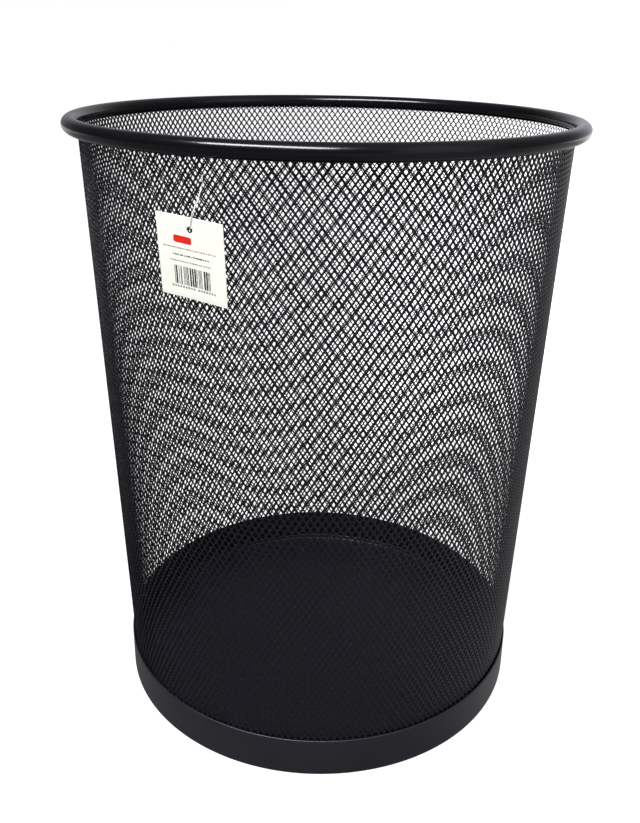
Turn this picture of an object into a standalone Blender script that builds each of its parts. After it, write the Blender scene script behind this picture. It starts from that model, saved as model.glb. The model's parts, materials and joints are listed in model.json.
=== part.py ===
"""Round wire-mesh office wastebasket with a paper hang tag.

Frame: metres, +Z up. The origin is the centre of the base, on the ground.
The hang tag is on the front (-Y) side, a little towards -X.

Pieces
  rim_tube     rolled steel hoop around the mouth, with a slot for the mesh
  mesh_wall    tapered wall of expanded steel, here as a plain closed sheet
  base_band    smooth steel hoop around the foot, lower edge turned in
  floor_plate  steel disc with a turned-up lip, inside the foot of the mesh
  hang_tag     card with a hole
  tag_string   thread looped round one node of the mesh and through the tag
"""

import math

import bmesh
import bpy
from mathutils import Matrix, Vector

# ------------------------------------------------------- turned pieces
ROUND_STEPS = 80          # steps round every turned piece

HEIGHT = 0.345            # ground to the top of the rim
RIM_OUTER_R = 0.1475      # largest radius of the rim
RIM_TUBE_R = 0.0045       # radius of the rolled tube
RIM_SHEET = 0.0008        # thickness of the rolled tube's wall
RIM_CENTRE_R = RIM_OUTER_R - RIM_TUBE_R
RIM_CENTRE_Z = HEIGHT - RIM_TUBE_R
SLOT_DEG = 225.0          # the slot faces down and inwards
SLOT_HALF_DEG = 14.0

BASE_R = 0.1200           # outer radius of the band at the ground
BAND_TOP_R = 0.1205       # outer radius of the band at its top edge
BAND_H = 0.0220
BAND_SHEET = 0.0008
BAND_TURN_IN_R = 0.1135   # inner radius of the band's turned-in lower edge
BAND_CORNER = 0.0012      # outside corner radius between wall and turned-in edge
BAND_BEVEL_IN = 0.00015   # bevels on the band's top edge: width
BAND_BEVEL_DOWN = 0.00025     # and depth

FOOT_GAP = 0.0003         # mesh and floor stand this far above the turned-in edge
FLOOR_Z = BAND_SHEET + FOOT_GAP       # underside of the floor plate
FLOOR_T = 0.0008
FLOOR_R = 0.11655         # outer radius of the turned-up lip, at its foot
LIP_H = 0.0036            # height of the lip above the plate's underside
FLOOR_CORNER = 0.0016     # outside corner radius between plate and lip

MESH_T = 0.0010           # thickness of the expanded sheet
MESH_R_AT_BAND = 0.1188   # mid-surface radius of the mesh at the band's top
MESH_TAPER = 0.0632       # radius gained per metre of height
MESH_END = 0.0016         # how far the mesh's top edge reaches into the tube
MESH_BEND = 0.0010        # tangent length of the bend under the rim
MESH_BEND_STEPS = 3
MESH_HEIGHTS = (FLOOR_Z, 0.11, 0.22, 0.316, 0.332)    # stations on the straight wall

# ------------------------------------------------------------- thread
# azimuths are measured from the front (-Y) towards -X
NODE_AZIMUTH = math.radians(23.1)
NODE_Z = 0.3260
OPENING_W = 0.0020        # mesh openings above and below the node
OPENING_NEAR = 0.0009     # their near and far edges, from the node
OPENING_FAR = 0.0033
OPENING_CUT_DEPTH = 0.006

RING_R = 0.0019           # loop of thread round the node
RING_STEPS = 24
RING_SIDES = 8
THREAD_R = 0.00035
CORD_R = 0.00050          # the thread doubled and twisted
TUBE_RESOLUTION = 2       # bevel resolution of cord and card loop
KNOT_FRACTION = 0.40      # main knot's place on the line from node to hole
KNOT_R = 0.0011
KNOT_STRETCH = 1.35
MEET_KNOT_R = 0.00090     # small knot where the cord splits into two legs
MEET_KNOT_STRETCH = 1.2
MEET_ABOVE_CARD = 0.0026  # the small knot, above the card's top edge
MEET_HALF = 0.00042       # half spacing of the legs at the small knot
LEG_BEND_ABOVE_CARD = 0.0009
LOOP_HALF = 0.00088       # half spacing of the legs across the card
LOOP_STEPS = 8
LOOP_CLEARANCE = 0.0003   # between the thread and the hole's edge

# --------------------------------------------------------------- card
TAG_HOLE_AZIMUTH = math.radians(24.97)
TAG_HOLE_Z = 0.3030
TAG_HOLE_OUT = 0.0064     # hole's distance from the mesh's outer face
TAG_TURN = math.radians(28.56)        # azimuth the card faces
TAG_LEAN = math.radians(10.8)         # top of the card stands away from the wall
TAG_ROLL = math.radians(-4.1)         # negative lowers the right edge, seen from outside
TAG_W = 0.0370
TAG_H = 0.0415
TAG_T = 0.0004
TAG_CORNER = 0.0006
TAG_HOLE_R = 0.0016
TAG_HOLE_SEGMENTS = 24
TAG_HOLE_DOWN = 0.0062    # hole centre below the card's top edge

UP = Vector((0.0, 0.0, 1.0))


# ----------------------------------------------------- scene helpers
def clear_scene():
    for ob in list(bpy.data.objects):
        bpy.data.objects.remove(ob, do_unlink=True)
    for mesh in list(bpy.data.meshes):
        bpy.data.meshes.remove(mesh)


def make_collection(name):
    collection = bpy.data.collections.new(name)
    bpy.context.scene.collection.children.link(collection)
    return collection


def make_material(name, colour, roughness, metallic):
    material = bpy.data.materials.new(name)
    material.use_nodes = True
    shader = material.node_tree.nodes["Principled BSDF"]
    shader.inputs["Base Color"].default_value = (*colour, 1.0)
    shader.inputs["Roughness"].default_value = roughness
    shader.inputs["Metallic"].default_value = metallic
    material.diffuse_color = (*colour, 1.0)
    return material


def mesh_object(name, bm, collection, material=None):
    """Turn a bmesh into a linked object, and free the bmesh."""
    mesh = bpy.data.meshes.new(name)
    bm.to_mesh(mesh)
    bm.free()
    ob = bpy.data.objects.new(name, mesh)
    collection.objects.link(ob)
    if material is not None:
        mesh.materials.append(material)
    return ob


def smooth(ob):
    ob.data.shade_smooth()
    ob.data.set_sharp_from_angle(angle=math.radians(35.0))


def combine(ob, helper, operation):
    """Apply a helper to an object by boolean, and hide the helper."""
    helper.hide_render = True
    helper.display_type = "WIRE"
    modifier = ob.modifiers.new(operation.lower(), "BOOLEAN")
    modifier.operation = operation
    modifier.solver = "EXACT"
    modifier.object = helper


# -------------------------------------------------- geometry helpers
def arc(centre_x, centre_y, radius, start, end, steps):
    """Points on a plane arc, from start to end in degrees."""
    points = []
    for i in range(steps + 1):
        angle = math.radians(start + (end - start) * i / steps)
        points.append((centre_x + radius * math.cos(angle),
                       centre_y + radius * math.sin(angle)))
    return points


def turned(name, profile, collection, material, closed=True):
    """Turn a profile of (radius, height) points round Z.

    An open profile starts and ends on the axis."""
    bm = bmesh.new()
    verts = [bm.verts.new((radius, 0.0, z)) for radius, z in profile]
    for pair in zip(verts, verts[1:]):
        bm.edges.new(pair)
    if closed:
        bm.edges.new((verts[-1], verts[0]))
    ob = mesh_object(name, bm, collection, material)
    screw = ob.modifiers.new("turn", "SCREW")
    screw.axis = "Z"
    screw.angle = 2.0 * math.pi
    screw.steps = ROUND_STEPS
    screw.render_steps = ROUND_STEPS
    screw.use_merge_vertices = True
    screw.merge_threshold = 0.00001
    screw.use_smooth_shade = True
    return ob


def mesh_mid_r(z):
    """Radius of the straight wall's mid-surface."""
    return MESH_R_AT_BAND + MESH_TAPER * (z - BAND_H)


def radial(azimuth):
    return Vector((-math.sin(azimuth), -math.cos(azimuth), 0.0))


def tangent(azimuth):
    """Horizontal direction to the right, seen from outside."""
    return Vector((math.cos(azimuth), -math.sin(azimuth), 0.0))


def axes_matrix(x_axis, y_axis, z_axis):
    return Matrix((x_axis, y_axis, z_axis)).transposed().to_4x4()


def tube_object(name, points, radius, collection):
    """A round bar along a polyline, as a welded closed mesh."""
    curve = bpy.data.curves.new(name, "CURVE")
    curve.dimensions = "3D"
    curve.bevel_depth = radius
    curve.bevel_resolution = TUBE_RESOLUTION
    curve.use_fill_caps = True
    spline = curve.splines.new("POLY")
    spline.points.add(len(points) - 1)
    for spline_point, point in zip(spline.points, points):
        spline_point.co = (*point, 1.0)
    curve_ob = bpy.data.objects.new(name + "_curve", curve)
    collection.objects.link(curve_ob)
    bpy.context.view_layer.update()
    graph = bpy.context.evaluated_depsgraph_get()
    mesh = bpy.data.meshes.new_from_object(curve_ob.evaluated_get(graph), depsgraph=graph)
    bm = bmesh.new()
    bm.from_mesh(mesh)
    bmesh.ops.remove_doubles(bm, verts=bm.verts, dist=0.000002)
    bmesh.ops.recalc_face_normals(bm, faces=bm.faces)
    bm.to_mesh(mesh)
    bm.free()
    ob = bpy.data.objects.new(name, mesh)
    collection.objects.link(ob)
    bpy.data.objects.remove(curve_ob, do_unlink=True)
    return ob


# ------------------------------------ places shared by wall, tag and thread
NODE = radial(NODE_AZIMUTH) * mesh_mid_r(NODE_Z) + UP * NODE_Z
HOLE = (radial(TAG_HOLE_AZIMUTH) * (mesh_mid_r(TAG_HOLE_Z) + MESH_T / 2.0 + TAG_HOLE_OUT)
        + UP * TAG_HOLE_Z)

# the card's axes: turned to its azimuth, leaned, then rolled in its own plane
LEVEL_ACROSS = tangent(TAG_TURN)
LEANED_UP = UP * math.cos(TAG_LEAN) + radial(TAG_TURN) * math.sin(TAG_LEAN)
CARD_ACROSS = LEVEL_ACROSS * math.cos(TAG_ROLL) + LEANED_UP * math.sin(TAG_ROLL)
CARD_UP = LEANED_UP * math.cos(TAG_ROLL) - LEVEL_ACROSS * math.sin(TAG_ROLL)
CARD_FACING = CARD_ACROSS.cross(CARD_UP)


# ------------------------------------------------------------- pieces
def build_rim_tube(parts, material):
    """A C-section, open where the mesh enters."""
    first = SLOT_DEG - SLOT_HALF_DEG
    last = SLOT_DEG + SLOT_HALF_DEG - 360.0
    profile = arc(RIM_CENTRE_R, RIM_CENTRE_Z, RIM_TUBE_R, first, last, 14)
    profile += arc(RIM_CENTRE_R, RIM_CENTRE_Z, RIM_TUBE_R - RIM_SHEET, last, first, 8)
    turned("rim_tube", profile, parts, material)


def wall_mid_line():
    """(radius, height) points up the straight taper and round the bend into the slot."""
    slot_angle = math.radians(SLOT_DEG)
    outwards = Vector((math.cos(slot_angle), math.sin(slot_angle)))
    into_slot = -outwards
    slot_point = (Vector((RIM_CENTRE_R, RIM_CENTRE_Z))
                  + outwards * (RIM_TUBE_R - RIM_SHEET / 2.0))
    up_wall = Vector((MESH_TAPER, 1.0)).normalized()
    straight = [Vector((mesh_mid_r(z), z)) for z in MESH_HEIGHTS]

    # the straight wall's line meets the slot's line at the corner of the bend
    back = (slot_point - straight[0]).cross(up_wall) / into_slot.cross(up_wall)
    corner = slot_point - into_slot * back
    bend_start = corner - up_wall * MESH_BEND
    bend_end = corner + into_slot * MESH_BEND
    bend = []
    for i in range(MESH_BEND_STEPS + 1):
        t = i / MESH_BEND_STEPS
        bend.append(bend_start * (1 - t) ** 2 + corner * 2 * t * (1 - t) + bend_end * t ** 2)
    return straight + bend + [slot_point + into_slot * MESH_END]


def build_mesh_wall(parts, cutters, material):
    """The tapered sheet, with the two openings the thread passes through."""
    middle = wall_mid_line()
    outer, inner = [], []
    for i, point in enumerate(middle):
        along = (middle[min(i + 1, len(middle) - 1)] - middle[max(i - 1, 0)]).normalized()
        offset = Vector((along.y, -along.x)) * MESH_T / 2.0
        outer.append(tuple(point + offset))
        inner.append(tuple(point - offset))
    wall = turned("mesh_wall", outer[::-1] + inner, parts, material)

    rotation = axes_matrix(tangent(NODE_AZIMUTH), radial(NODE_AZIMUTH), UP)
    size = Matrix.Diagonal((OPENING_W, OPENING_CUT_DEPTH, OPENING_FAR - OPENING_NEAR, 1.0))
    rise = (OPENING_NEAR + OPENING_FAR) / 2.0
    for number, side in ((1, 1.0), (2, -1.0)):
        bm = bmesh.new()
        bmesh.ops.create_cube(bm, size=1.0)
        place = Matrix.Translation(NODE + UP * side * rise)
        bmesh.ops.transform(bm, matrix=place @ rotation @ size, verts=bm.verts)
        bmesh.ops.recalc_face_normals(bm, faces=bm.faces)
        cutter = mesh_object(f"opening_cut_{number}", bm, cutters)
        combine(wall, cutter, "DIFFERENCE")
    smooth(wall)


def build_base_band(parts, material):
    """Upright hoop, slightly flared, with its lower edge turned in."""
    slope = (BAND_TOP_R - BASE_R) / BAND_H
    corner_r = BASE_R - BAND_CORNER
    top_inner_r = BAND_TOP_R - BAND_SHEET
    bevel_z = BAND_H - BAND_BEVEL_DOWN
    profile = [
        (BAND_TOP_R - BAND_BEVEL_IN, BAND_H),
        (BAND_TOP_R, bevel_z),
        (BASE_R + slope * BAND_CORNER, BAND_CORNER),
    ]
    profile += arc(corner_r, BAND_CORNER, BAND_CORNER, 0.0, -90.0, 3)[1:]
    profile += [(BAND_TURN_IN_R, 0.0), (BAND_TURN_IN_R, BAND_SHEET)]
    profile += arc(corner_r, BAND_CORNER, BAND_CORNER - BAND_SHEET, -90.0, 0.0, 2)
    profile += [(top_inner_r, bevel_z), (top_inner_r + BAND_BEVEL_IN, BAND_H)]
    turned("base_band", profile, parts, material)


def build_floor_plate(parts, material):
    """Disc with a turned-up lip that follows the mesh's taper."""
    corner_r = FLOOR_R - FLOOR_CORNER
    corner_z = FLOOR_Z + FLOOR_CORNER
    lip_top_z = FLOOR_Z + LIP_H
    lip_top_r = FLOOR_R + MESH_TAPER * (LIP_H - FLOOR_CORNER)
    profile = [(0.0, FLOOR_Z + FLOOR_T)]
    profile += arc(corner_r, corner_z, FLOOR_CORNER - FLOOR_T, -90.0, 0.0, 2)
    profile += [(lip_top_r - FLOOR_T, lip_top_z), (lip_top_r, lip_top_z)]
    profile += arc(corner_r, corner_z, FLOOR_CORNER, 0.0, -90.0, 3)
    profile += [(0.0, FLOOR_Z)]
    turned("floor_plate", profile, parts, material, closed=False)


def build_hang_tag(parts, cutters, material):
    """Card with rounded corners and a hole; its origin is the hole's centre."""
    right, left = TAG_W / 2.0, -TAG_W / 2.0
    top, bottom = TAG_HOLE_DOWN, TAG_HOLE_DOWN - TAG_H
    bm = bmesh.new()
    outline = []
    for x, y, start in ((right, top, 0.0), (left, top, 90.0),
                        (left, bottom, 180.0), (right, bottom, 270.0)):
        centre_x = x - math.copysign(TAG_CORNER, x)
        centre_y = y - math.copysign(TAG_CORNER, y)
        for point in arc(centre_x, centre_y, TAG_CORNER, start, start + 90.0, 3):
            outline.append(bm.verts.new((*point, -TAG_T / 2.0)))
    back_face = bm.faces.new(outline)
    extruded = bmesh.ops.extrude_face_region(bm, geom=[back_face])
    front_verts = [item for item in extruded["geom"] if isinstance(item, bmesh.types.BMVert)]
    bmesh.ops.translate(bm, vec=(0.0, 0.0, TAG_T), verts=front_verts)
    bmesh.ops.recalc_face_normals(bm, faces=bm.faces)
    tag = mesh_object("hang_tag", bm, parts, material)

    bm = bmesh.new()
    bmesh.ops.create_cone(bm, cap_ends=True, segments=TAG_HOLE_SEGMENTS,
                          radius1=TAG_HOLE_R, radius2=TAG_HOLE_R, depth=TAG_T * 4.0)
    punch = mesh_object("tag_hole_cut", bm, cutters)
    place = Matrix.Translation(HOLE) @ axes_matrix(CARD_ACROSS, CARD_UP, CARD_FACING)
    tag.matrix_world = place
    punch.matrix_world = place
    combine(tag, punch, "DIFFERENCE")
    smooth(tag)


def node_ring(parts, material):
    """Closed ring of thread in the upright radial plane, centred on the node."""
    outwards, sideways = radial(NODE_AZIMUTH), tangent(NODE_AZIMUTH)
    bm = bmesh.new()
    sections = []
    for i in range(RING_STEPS):
        angle = 2.0 * math.pi * i / RING_STEPS
        spoke = outwards * math.cos(angle) + UP * math.sin(angle)
        section = []
        for j in range(RING_SIDES):
            turn = 2.0 * math.pi * j / RING_SIDES
            section.append(bm.verts.new(spoke * (RING_R + THREAD_R * math.cos(turn))
                                        + sideways * THREAD_R * math.sin(turn)))
        sections.append(section)
    for i, section in enumerate(sections):
        following = sections[(i + 1) % RING_STEPS]
        for j in range(RING_SIDES):
            k = (j + 1) % RING_SIDES
            bm.faces.new((section[j], following[j], following[k], section[k]))
    bmesh.ops.recalc_face_normals(bm, faces=bm.faces)
    return mesh_object("tag_string", bm, parts, material)


def knot_object(name, centre, radius, stretch, axis, collection):
    """A ball lengthened along the axis."""
    bm = bmesh.new()
    bmesh.ops.create_uvsphere(bm, u_segments=14, v_segments=10, radius=radius)
    rotation = axis.to_track_quat("Z", "Y").to_matrix().to_4x4()
    lengthen = Matrix.Diagonal((1.0, 1.0, stretch, 1.0))
    bmesh.ops.transform(bm, matrix=Matrix.Translation(centre) @ rotation @ lengthen,
                        verts=bm.verts)
    return mesh_object(name, bm, collection)


def build_tag_string(parts, cutters, material):
    """Ring round the node, twisted cord, two knots and a loop through the card.

    All points are measured from the node, which is the origin of each piece."""
    string = node_ring(parts, material)
    to_hole = HOLE - NODE
    knot = to_hole * KNOT_FRACTION
    # from the hole towards the main knot, in the card's plane
    to_knot = knot - to_hole
    pull = (to_knot - CARD_FACING * to_knot.dot(CARD_FACING)).normalized()
    meet_up = TAG_HOLE_DOWN + MEET_ABOVE_CARD
    meet = to_hole + pull * meet_up
    ring_edge = to_hole.normalized() * RING_R

    # (out of the card, up along the pull) from the hole's centre;
    # the thread sits in the upper part of the hole
    bend_up = TAG_HOLE_DOWN + LEG_BEND_ABOVE_CARD
    loop_low = TAG_HOLE_R - THREAD_R - LOOP_CLEARANCE
    loop = [(MEET_HALF, meet_up), (LOOP_HALF, bend_up)]
    loop += arc(0.0, loop_low + LOOP_HALF, LOOP_HALF, 0.0, -180.0, LOOP_STEPS)
    loop += [(-LOOP_HALF, bend_up), (-MEET_HALF, meet_up)]
    loop_points = [to_hole + pull * up + CARD_FACING * out for out, up in loop]

    helpers = (
        tube_object("cord_upper", [ring_edge, knot], CORD_R, cutters),
        tube_object("cord_lower", [knot, meet], CORD_R, cutters),
        tube_object("card_loop", loop_points, THREAD_R, cutters),
        knot_object("knot_main", knot, KNOT_R, KNOT_STRETCH, to_hole, cutters),
        knot_object("knot_low", meet, MEET_KNOT_R, MEET_KNOT_STRETCH, to_hole, cutters),
    )
    string.location = NODE
    for helper in helpers:
        helper.location = NODE
        combine(string, helper, "UNION")
    smooth(string)


# -------------------------------------------------------------- build
clear_scene()
parts = make_collection("wastebasket")
cutters = make_collection("wastebasket_cutters")

rim_black = make_material(
    "rim_gloss_black", colour=(0.012, 0.012, 0.014), roughness=0.22, metallic=0.25)
mesh_black = make_material(
    "mesh_black", colour=(0.015, 0.015, 0.018), roughness=0.42, metallic=0.25)
band_black = make_material(
    "band_satin_black", colour=(0.022, 0.023, 0.026), roughness=0.40, metallic=0.25)
floor_black = make_material(
    "floor_satin_black", colour=(0.020, 0.019, 0.023), roughness=0.48, metallic=0.25)
thread_white = make_material(
    "thread_white", colour=(0.78, 0.77, 0.73), roughness=0.85, metallic=0.0)
card_white = make_material(
    "card_white", colour=(0.86, 0.86, 0.83), roughness=0.80, metallic=0.0)

build_rim_tube(parts, rim_black)
build_mesh_wall(parts, cutters, mesh_black)
build_base_band(parts, band_black)
build_floor_plate(parts, floor_black)
build_hang_tag(parts, cutters, card_white)
build_tag_string(parts, cutters, thread_white)
bpy.context.view_layer.update()
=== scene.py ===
"""Looks for the wire-mesh wastebasket: expanded-steel lattice, rolled rim, pressed base, thread and card tag."""

import json
import math
import random

import bpy
import numpy as np
from mathutils import Matrix, Vector


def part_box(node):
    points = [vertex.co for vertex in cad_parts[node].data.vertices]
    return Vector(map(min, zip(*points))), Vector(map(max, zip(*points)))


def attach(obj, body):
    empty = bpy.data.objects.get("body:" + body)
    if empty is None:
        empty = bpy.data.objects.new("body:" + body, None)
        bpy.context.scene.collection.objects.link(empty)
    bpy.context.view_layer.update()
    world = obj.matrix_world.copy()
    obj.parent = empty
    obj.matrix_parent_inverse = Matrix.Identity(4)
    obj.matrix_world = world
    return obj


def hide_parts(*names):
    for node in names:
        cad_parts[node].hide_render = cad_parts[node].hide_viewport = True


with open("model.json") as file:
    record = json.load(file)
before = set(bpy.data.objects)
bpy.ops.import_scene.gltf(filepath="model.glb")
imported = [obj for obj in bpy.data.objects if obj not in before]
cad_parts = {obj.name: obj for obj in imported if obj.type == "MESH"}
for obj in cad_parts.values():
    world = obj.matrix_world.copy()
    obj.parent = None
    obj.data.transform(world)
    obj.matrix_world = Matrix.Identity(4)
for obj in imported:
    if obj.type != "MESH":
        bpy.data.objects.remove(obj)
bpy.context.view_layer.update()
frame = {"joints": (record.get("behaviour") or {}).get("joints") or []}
joints = {j["name"]: j for j in frame["joints"]}

# ------------------------------------------------------------ sizes from the frame
rim_lo, rim_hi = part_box("rim_tube")
band_lo, band_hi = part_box("base_band")
wall_lo, wall_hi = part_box("mesh_wall")
floor_lo, floor_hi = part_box("floor_plate")

RIM_R = rim_hi.x                          # outer radius of the rim
RIM_T = (rim_hi.z - rim_lo.z) / 2.0       # radius of the rolled tube
RIM_CR = RIM_R - RIM_T
RIM_CZ = rim_hi.z - RIM_T
BAND_H = band_hi.z
BAND_TOP_R = band_hi.x
BAND_LOW_R = BAND_TOP_R - 0.0005
NODE = Vector(joints["string_swing"]["pos_m"])     # mesh node that the thread goes round
HOLE = Vector(joints["tag_turn"]["pos_m"])         # centre of the tag's hole
FACING = Vector(joints["tag_turn"]["axis"]).normalized()
SWING = Vector(joints["string_swing"]["axis"]).normalized()
TAPER = 0.0632                            # the wall's gain in radius with height
MESH_FOOT = wall_lo.z + 0.0001


def wall_r(z):
    """Mid-surface radius of the straight wall."""
    return math.hypot(NODE.x, NODE.y) + TAPER * (z - NODE.z)


# ------------------------------------------------------------ mesh helpers
def object_from_arrays(name, verts, quads, tris=None, smooth=True):
    me = bpy.data.meshes.new(name)
    verts = np.asarray(verts, np.float32)
    quads = np.asarray(quads, np.int32).reshape(-1, 4)
    tris = np.zeros((0, 3), np.int32) if tris is None else np.asarray(tris, np.int32).reshape(-1, 3)
    me.vertices.add(len(verts))
    me.vertices.foreach_set("co", verts.ravel())
    nq, nt = len(quads), len(tris)
    me.loops.add(4 * nq + 3 * nt)
    me.loops.foreach_set("vertex_index", np.concatenate([quads.ravel(), tris.ravel()]).astype(np.int32))
    me.polygons.add(nq + nt)
    starts = np.concatenate([np.arange(nq) * 4, 4 * nq + np.arange(nt) * 3]).astype(np.int32)
    me.polygons.foreach_set("loop_start", starts)
    me.polygons.foreach_set("use_smooth", np.full(nq + nt, smooth, bool))
    me.update(calc_edges=True)
    me.validate()
    ob = bpy.data.objects.new(name, me)
    bpy.context.scene.collection.objects.link(ob)
    return ob


def revolve(name, profile, steps, closed=True, span=(0.0, 2 * math.pi), shape=None, sharp=None):
    """Turns (r, z) points round Z. The profile runs down its outer side. shape(phi, r, z) may return new r, z arrays."""
    prof = np.asarray(profile, float)
    full = abs((span[1] - span[0]) - 2 * math.pi) < 1e-9
    n = steps if full else steps + 1
    phi = span[0] + (span[1] - span[0]) * np.arange(n) / steps
    m = len(prof)
    P, R = np.meshgrid(phi, prof[:, 0], indexing="ij")
    Z = np.broadcast_to(prof[:, 1], P.shape).copy()
    if shape is not None:
        R, Z = shape(P, R.copy(), Z)
    verts = np.stack([R * np.cos(P), R * np.sin(P), Z], -1).reshape(-1, 3)
    quads, tris = [], []
    rings = range(n if full else n - 1)
    cols = m if closed else m - 1
    for i in rings:
        i2 = (i + 1) % n
        for j in range(cols):
            j2 = (j + 1) % m
            a, b, c, d = i * m + j, i * m + j2, i2 * m + j2, i2 * m + j
            pole_a, pole_b = prof[j, 0] < 1e-9, prof[j2, 0] < 1e-9
            if pole_a and pole_b:
                continue
            if pole_a:
                tris.append((j, b, c))
            elif pole_b:
                tris.append((a, j2, d))
            else:
                quads.append((a, b, c, d))
    if closed and not full:
        from_end = (n - 1) * m
        # end caps as strips between the two sides of the profile
        for base, flip in ((0, True), (from_end, False)):
            lo, hi = 0, m - 1
            while hi - lo > 1:
                if hi - lo == 2:
                    t = (base + lo, base + lo + 1, base + hi)
                    tris.append(t[::-1] if flip else t)
                    break
                q = (base + lo, base + lo + 1, base + hi - 1, base + hi)
                quads.append(q[::-1] if flip else q)
                lo, hi = lo + 1, hi - 1
    ob = object_from_arrays(name, verts, quads, tris)
    clean(ob)
    if sharp is not None:
        ob.data.set_sharp_from_angle(angle=math.radians(sharp))
    return ob


def clean(ob, dist=1e-7):
    """Merges doubles, drops loose points and points the faces outwards."""
    import bmesh
    bm = bmesh.new()
    bm.from_mesh(ob.data)
    bmesh.ops.remove_doubles(bm, verts=bm.verts, dist=dist)
    loose = [v for v in bm.verts if not v.link_faces]
    bmesh.ops.delete(bm, geom=loose, context="VERTS")
    bmesh.ops.recalc_face_normals(bm, faces=bm.faces)
    bm.to_mesh(ob.data)
    bm.free()


def arc(cx, cz, r, a0, a1, n):
    return [(cx + r * math.cos(math.radians(a0 + (a1 - a0) * i / n)),
             cz + r * math.sin(math.radians(a0 + (a1 - a0) * i / n))) for i in range(n + 1)]


def sweep(points, radius, sides=8, closed=False, radii=None):
    """Round bar along points, as (verts, quads, tris)."""
    P = np.asarray(points, float)
    n = len(P)
    T = np.roll(P, -1, 0) - np.roll(P, 1, 0)
    if not closed:
        T[0], T[-1] = P[1] - P[0], P[-1] - P[-2]
    T /= np.linalg.norm(T, axis=1)[:, None]
    up = np.array([0.0, 0.0, 1.0]) if abs(T[0][2]) < 0.9 else np.array([1.0, 0.0, 0.0])
    N = np.zeros_like(P)
    N[0] = np.cross(T[0], up)
    N[0] /= np.linalg.norm(N[0])
    for i in range(1, n):
        v = N[i - 1] - T[i] * (N[i - 1] @ T[i])
        N[i] = v / np.linalg.norm(v)
    B = np.cross(T, N)
    rad = np.full(n, radius) if radii is None else np.asarray(radii)
    if closed:       # spread the leftover twist along the loop
        v = N[-1] - T[0] * (N[-1] @ T[0])
        v /= np.linalg.norm(v)
        twist = math.atan2(np.cross(v, N[0]) @ T[0], v @ N[0])
        ang = twist * np.arange(n) / n
        N, B = (N * np.cos(ang)[:, None] + B * np.sin(ang)[:, None],
                B * np.cos(ang)[:, None] - N * np.sin(ang)[:, None])
    a = 2 * np.pi * np.arange(sides) / sides
    V = (P[:, None] + rad[:, None, None] * (np.cos(a)[None, :, None] * N[:, None] + np.sin(a)[None, :, None] * B[:, None]))
    V = V.reshape(-1, 3)
    quads, tris = [], []
    for i in range(n if closed else n - 1):
        i2 = (i + 1) % n
        for j in range(sides):
            j2 = (j + 1) % sides
            quads.append((i * sides + j, i * sides + j2, i2 * sides + j2, i2 * sides + j))
    if not closed:
        c0, c1 = len(V), len(V) + 1
        V = np.vstack([V, P[0] - T[0] * rad[0] * 0.5, P[-1] + T[-1] * rad[-1] * 0.5])
        for j in range(sides):
            j2 = (j + 1) % sides
            tris.append((c0, j2, j))
            tris.append((c1, (n - 1) * sides + j, (n - 1) * sides + j2))
    return V, np.array(quads), np.array(tris).reshape(-1, 3)


def join_arrays(parts):
    V, Q, T, k = [], [], [], 0
    for v, q, t in parts:
        V.append(v)
        if len(q):
            Q.append(np.asarray(q) + k)
        if len(t):
            T.append(np.asarray(t) + k)
        k += len(v)
    return (np.vstack(V), np.vstack(Q) if Q else np.zeros((0, 4), int), np.vstack(T) if T else np.zeros((0, 3), int))


# ------------------------------------------------------------ materials
def new_material(name):
    mat = bpy.data.materials.new(name)
    mat.use_nodes = True
    nt = mat.node_tree
    return mat, nt, nt.nodes["Principled BSDF"]


def node(nt, kind, **values):
    n = nt.nodes.new(kind)
    for k, v in values.items():
        if k in n.inputs:
            n.inputs[k].default_value = v
        else:
            setattr(n, k, v)
    return n


def ramp(nt, source, stops):
    r = nt.nodes.new("ShaderNodeValToRGB")
    el = r.color_ramp.elements
    while len(el) > 1:
        el.remove(el[-1])
    el[0].position, el[0].color = stops[0][0], (*stops[0][1], 1)
    for p, c in stops[1:]:
        e = el.new(p)
        e.color = (*c, 1)
    nt.links.new(source, r.inputs["Fac"])
    return r.outputs["Color"]


def grey(v):
    return (v, v, v)


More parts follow.
